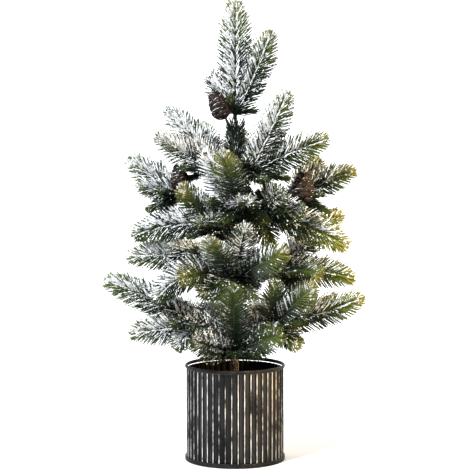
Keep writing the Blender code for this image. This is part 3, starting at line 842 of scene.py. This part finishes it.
def add_scale(soup, root, grow, tangent, lift, long, wide, rng):
    """One spoon-shaped scale with a thick turned-out lip."""
    across = (-1.0, -0.55, 0.0, 0.55, 1.0)
    points = []
    paints = []
    chance = rng.uniform()
    white = rng.uniform(0.50, 1.15)
    for share, width, rise, thick in SCALE_STATIONS:
        for face in (1, -1):
            order = across if face == 1 else across[::-1]
            for spot in order:
                sag = (1 - spot * spot) * 0.16 * long
                height = ((rise * 0.55 * long) - sag * 0.5
                          + face * thick * wide * 0.5 * (1 - 0.75 * abs(spot)))
                points.append(root + grow * long * share * (1 - 0.10 * abs(spot) * share)
                              + tangent * wide * width * spot + lift * height)
                rim = max(0.0, share - 0.62) / 0.38
                shown = 1.0 if face == 1 else 0.55
                whiteness = white * (0.15 + 0.75 * rim) * shown * (0.75 + 0.35 * abs(spot))
                paints.append((share, whiteness, chance))
    soup.add(points, ring_faces(10, len(SCALE_STATIONS)), np.array(paints))


# ---------------------------------------------------------------- planter and trunk
FLUTES = 48
FLUTE_SAMPLES = 16
FLUTE_DEPTH = 0.0020
SHEET = 0.0008
FLUTE_SHARP = 1.8            # above 1, crests are narrower than valleys
WALL_ROWS = 40
RIM_WIDTH = 0.0034
RIM_SIDES = 20
FOOT_PROUD = 0.0013


def make_pot_wall():
    low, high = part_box("pot_wall")
    radius = (high.x - low.x) / 2
    count = FLUTES * FLUTE_SAMPLES
    rows = WALL_ROWS
    angles = np.arange(count) * math.tau / count
    crest = (1 - np.cos(angles * FLUTES)) / 2
    wave = crest ** FLUTE_SHARP
    soup = Soup()
    points = []
    paints = []
    for row in range(rows):
        share = row / (rows - 1)
        outer = radius - FLUTE_DEPTH * (1 - wave)
        height = low.z + (high.z - low.z) * share
        points.append(np.stack([outer * np.cos(angles), outer * np.sin(angles), np.full(count, height)], 1))
        paints.append(np.stack([crest, np.full(count, share), np.zeros(count)], 1))
    for row in range(rows - 1, -1, -1):
        share = row / (rows - 1)
        inner = radius - FLUTE_DEPTH * (1 - wave) - SHEET
        height = low.z + (high.z - low.z) * share
        points.append(np.stack([inner * np.cos(angles), inner * np.sin(angles), np.full(count, height)], 1))
        # blue marks the inner face, which the material paints dark as shade
        paints.append(np.stack([np.zeros(count), np.full(count, share), np.ones(count)], 1))
    rings = 2 * rows
    faces = loop_faces(count, rings)
    soup.add(np.vstack(points), faces, np.vstack(paints))
    item = soup.make("fluted_wall", GALVANISED, smooth_angle=60)
    return fit_out(item, BASE_BODY, "galvanised_steel", "pot_wall")


def make_turned(name, outline, marks, material, slot, node, sides=144):
    """A closed outline spun round the trunk's axis; marks paint each outline point."""
    soup = Soup()
    angles = np.arange(sides) * math.tau / sides
    points = []
    paints = []
    for (radius, height), mark in zip(outline, marks):
        points.append(np.stack([radius * np.cos(angles), radius * np.sin(angles), np.full(sides, height)], 1))
        paints.append(np.tile((mark, 0.0, 0.0), (sides, 1)))
    rings = len(outline)
    faces = loop_faces(sides, rings)
    soup.add(np.vstack(points), faces, np.vstack(paints))
    item = soup.make(name, material, smooth_angle=40)
    return fit_out(item, BASE_BODY, slot, node)


def make_pot_rim():
    """Rolled rim: a round bead, bright on its outer and upper side, partly as rubbed wear, partly as painted
    highlight.
    """
    low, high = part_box("pot_rim")
    outer = (high.x - low.x) / 2
    tall = high.z - low.z
    half = RIM_WIDTH / 2
    middle = outer - half
    outline = []
    marks = []
    for index in range(RIM_SIDES):
        angle = math.tau * index / RIM_SIDES
        outline.append((middle + half * math.cos(angle), low.z + tall / 2 + tall / 2 * math.sin(angle)))
        # the upper outer side is marked bright: partly rubbed wear, partly painted highlight
        marks.append(max(0.0, math.cos(angle - math.radians(40))))
    return make_turned("rolled_rim", outline, marks, ROLLED, "rolled_edge", "pot_rim")


def make_pot_foot():
    """Foot band with a pressed groove round its middle."""
    low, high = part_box("pot_foot_band")
    outer = (high.x - low.x) / 2
    inner = outer - FOOT_PROUD
    tall = high.z - low.z
    outline = [(inner, low.z)]
    marks = [0.0]
    # marks run high on the proud bands and low in the groove and at the ends: partly rubbed wear, partly painted
    # highlight, with painted shade in the groove
    for share, inset, mark in ((0.00, 0.35, 0.2), (0.06, 0.12, 0.5), (0.16, 0.0, 0.9), (0.42, 0.0, 0.9),
                               (0.52, 0.28, 0.2), (0.60, 0.28, 0.2), (0.70, 0.0, 0.8), (0.86, 0.0, 1.0),
                               (0.95, 0.20, 0.7), (1.00, 0.55, 0.3)):
        outline.append((outer - inset * FOOT_PROUD, low.z + tall * share))
        marks.append(mark)
    outline.append((inner, high.z))
    marks.append(0.0)
    return make_turned("foot_band", outline, marks, ROLLED, "rolled_edge", "pot_foot_band")


def make_cement():
    """Cast cement with a troweled, uneven top and a rounded shoulder."""
    low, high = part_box("cement_weight")
    radius = (high.x - low.x) / 2
    sides = 96
    rng = np.random.default_rng(9)
    soup = Soup()
    rows = [(radius * 0.98, low.z), (radius, low.z + 0.001), (radius, high.z - 0.004),
            (radius * 0.985, high.z - 0.002)]
    rows += [(radius * share, high.z - 0.0012)
             for share in (0.95, 0.85, 0.74, 0.63, 0.52, 0.41, 0.30, 0.20, 0.12)]
    rows += [(0.0034, high.z - 0.0016), (0.0034, high.z - 0.0300)]
    points = []
    for index, (size, height) in enumerate(rows):
        rough = 0.0008 if 4 <= index <= 12 else 0.0
        for side in range(sides):
            angle = math.tau * side / sides
            lump = rng.uniform(-rough, rough)
            points.append((size * math.cos(angle), size * math.sin(angle), height + lump))
    soup.add(points, ring_faces(sides, len(rows)), (0, 0, 0))
    item = soup.make("cast_weight", CEMENT)
    return fit_out(item, BASE_BODY, "cement", "cement_weight")


WRAP_LAP = 0.011             # from one turn of the paper to the next
WRAP_RING = 0.0011           # from one ring of its mesh to the next


def make_wrap():
    """Paper wound up the trunk: each turn laps the one below."""
    low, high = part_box("trunk_wrap")
    radius = (high.x - low.x) / 2
    sides = 28
    rings = int((high.z - low.z) / WRAP_RING)
    rng = np.random.default_rng(3)
    points = []
    for ring in range(rings):
        height = low.z + (high.z - low.z) * ring / (rings - 1)
        for side in range(sides):
            angle = math.tau * side / sides
            wind = ((height - low.z) / WRAP_LAP - side / sides) % 1.0
            size = radius * (0.90 + 0.085 * wind + rng.uniform(-0.012, 0.012))
            points.append((size * math.cos(angle), size * math.sin(angle), height))
    soup = Soup()
    soup.add(points, ring_faces(sides, rings), (0, 0, 0))
    item = soup.make("paper_wrap", PAPER)
    return fit_out(item, BASE_BODY, "paper_wrap", "trunk_wrap")


TRUNK_RADIUS = 0.0050
TRUNK_SNOW = 0.62
TRUNK_PITCH = 0.0042
TRUNK_ROWS = tuple(Row(angle, 0.56, 34, 0.8, 0.0) for angle in range(0, 360, 30))


def make_trunk_needles():
    """Dark needles bound in with the branch wires, up the whole trunk from the hem."""
    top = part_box("trunk_wrap")[1].z
    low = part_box("tape_hem")[1].z
    rng = np.random.default_rng(77)
    soup = Soup()
    rib = Rib((0, 0, low), 0, 89.9, top - low, radius=TRUNK_RADIUS)
    needles = Needles()
    grow_along(needles, rib, rng, TRUNK_SNOW, TRUNK_ROWS, pitch=TRUNK_PITCH, rounded=False,
               spin=13, stray=10)
    needles.build(soup, rng, 0.0)
    item = soup.make("trunk_needles", NEEDLES)
    return fit_out(item, BASE_BODY, "needles")


def finish_cad_nodes():
    """Better materials on the CAD nodes whose shape stays."""
    keep = {"pot_base": ROLLED, "trunk_rod": WIRE}
    for name in frame["nodes"]:
        if name.startswith("tape_"):
            keep[name] = PAPER
        elif name.startswith("cone_pick_"):
            keep[name] = WIRE
    for name, material in keep.items():
        item = frame["nodes"][name]
        item.data.materials.clear()
        item.data.materials.append(material)


# ---------------------------------------------------------------- stage and light
def make_stage():
    """Pale floor that sweeps up into a backdrop."""
    mesh = bpy.data.meshes.new("floor")
    depth = ((-14.0, 0.0), (1.6, 0.0), (2.2, 0.06), (2.7, 0.30), (3.0, 0.80), (3.1, 4.0))
    points = [(x, y, z) for y, z in depth for x in (-14.0, 14.0)]
    faces = [(2 * k, 2 * k + 1, 2 * k + 3, 2 * k + 2) for k in range(len(depth) - 1)]
    mesh.from_pydata(points, [], faces)
    mesh.shade_smooth()
    m = Nodes("pale_floor")
    soft = m.noise(m.place(), 3.0, 2.0)
    mesh.materials.append(m.finish(m.mix(soft, (0.86, 0.86, 0.86), (0.88, 0.88, 0.88)), 0.9))
    floor = bpy.data.objects.new("floor", mesh)
    bpy.context.scene.collection.objects.link(floor)


def add_light(name, place, aim, size, power, colour, spread=180):
    data = bpy.data.lights.new(name, 'AREA')
    data.spread = math.radians(spread)
    data.shape = 'DISK'
    data.size = size
    data.energy = power
    data.color = colour
    light = bpy.data.objects.new(name, data)
    light.location = place
    light.rotation_euler = (Vector(aim) - Vector(place)).to_track_quat('-Z', 'Y').to_euler()
    bpy.context.scene.collection.objects.link(light)


def make_lights():
    world = bpy.data.worlds.new("studio")
    world.use_nodes = True
    sky = world.node_tree.nodes["Background"]
    sky.inputs["Color"].default_value = (0.95, 0.97, 1.0, 1.0)
    sky.inputs["Strength"].default_value = 0.40
    bpy.context.scene.world = world
    middle = (0.0, 0.0, 0.30)
    add_light("key_left", (-1.2, -1.5, 1.7), middle, 0.3, 104.0, (0.96, 0.98, 1.0))
    add_light("fill_back", (1.3, 1.7, 1.6), middle, 0.6, 30.0, (1.0, 0.98, 0.95))
    add_light("warm_right", (0.75, -0.35, 0.42), (0.18, 0.0, 0.28), 0.25, 1.1, (1.0, 0.72, 0.32), 34)
    add_light("warm_low", (0.40, -0.42, 0.10), (0.045, -0.03, 0.075), 0.16, 0.06, (1.0, 0.60, 0.18), 20)
    add_light("backdrop_left", (-1.4, 1.2, 1.6), (-0.4, 3.0, 0.6), 1.2, 60.0, (1.0, 1.0, 1.0))
    add_light("backdrop_right", (1.4, 1.2, 1.6), (0.4, 3.0, 0.6), 1.2, 60.0, (1.0, 1.0, 1.0))
    bpy.context.scene.view_settings.view_transform = 'Standard'


def build():
    make_pot_wall()
    make_pot_rim()
    make_pot_foot()
    make_cement()
    make_wrap()
    make_trunk_needles()
    for index, branch in enumerate(BRANCHES):
        make_stem(branch, 100 + index)
        make_sprig(branch, 200 + index)
    bodies = frame["record"]["behaviour"]["bodies"]
    for body, nodes in bodies.items():
        for node in nodes:
            if node.startswith("cone_") and not node.startswith("cone_pick_"):
                make_cone(node[len("cone_"):], body)
    finish_cad_nodes()
    make_stage()
    make_lights()


build()
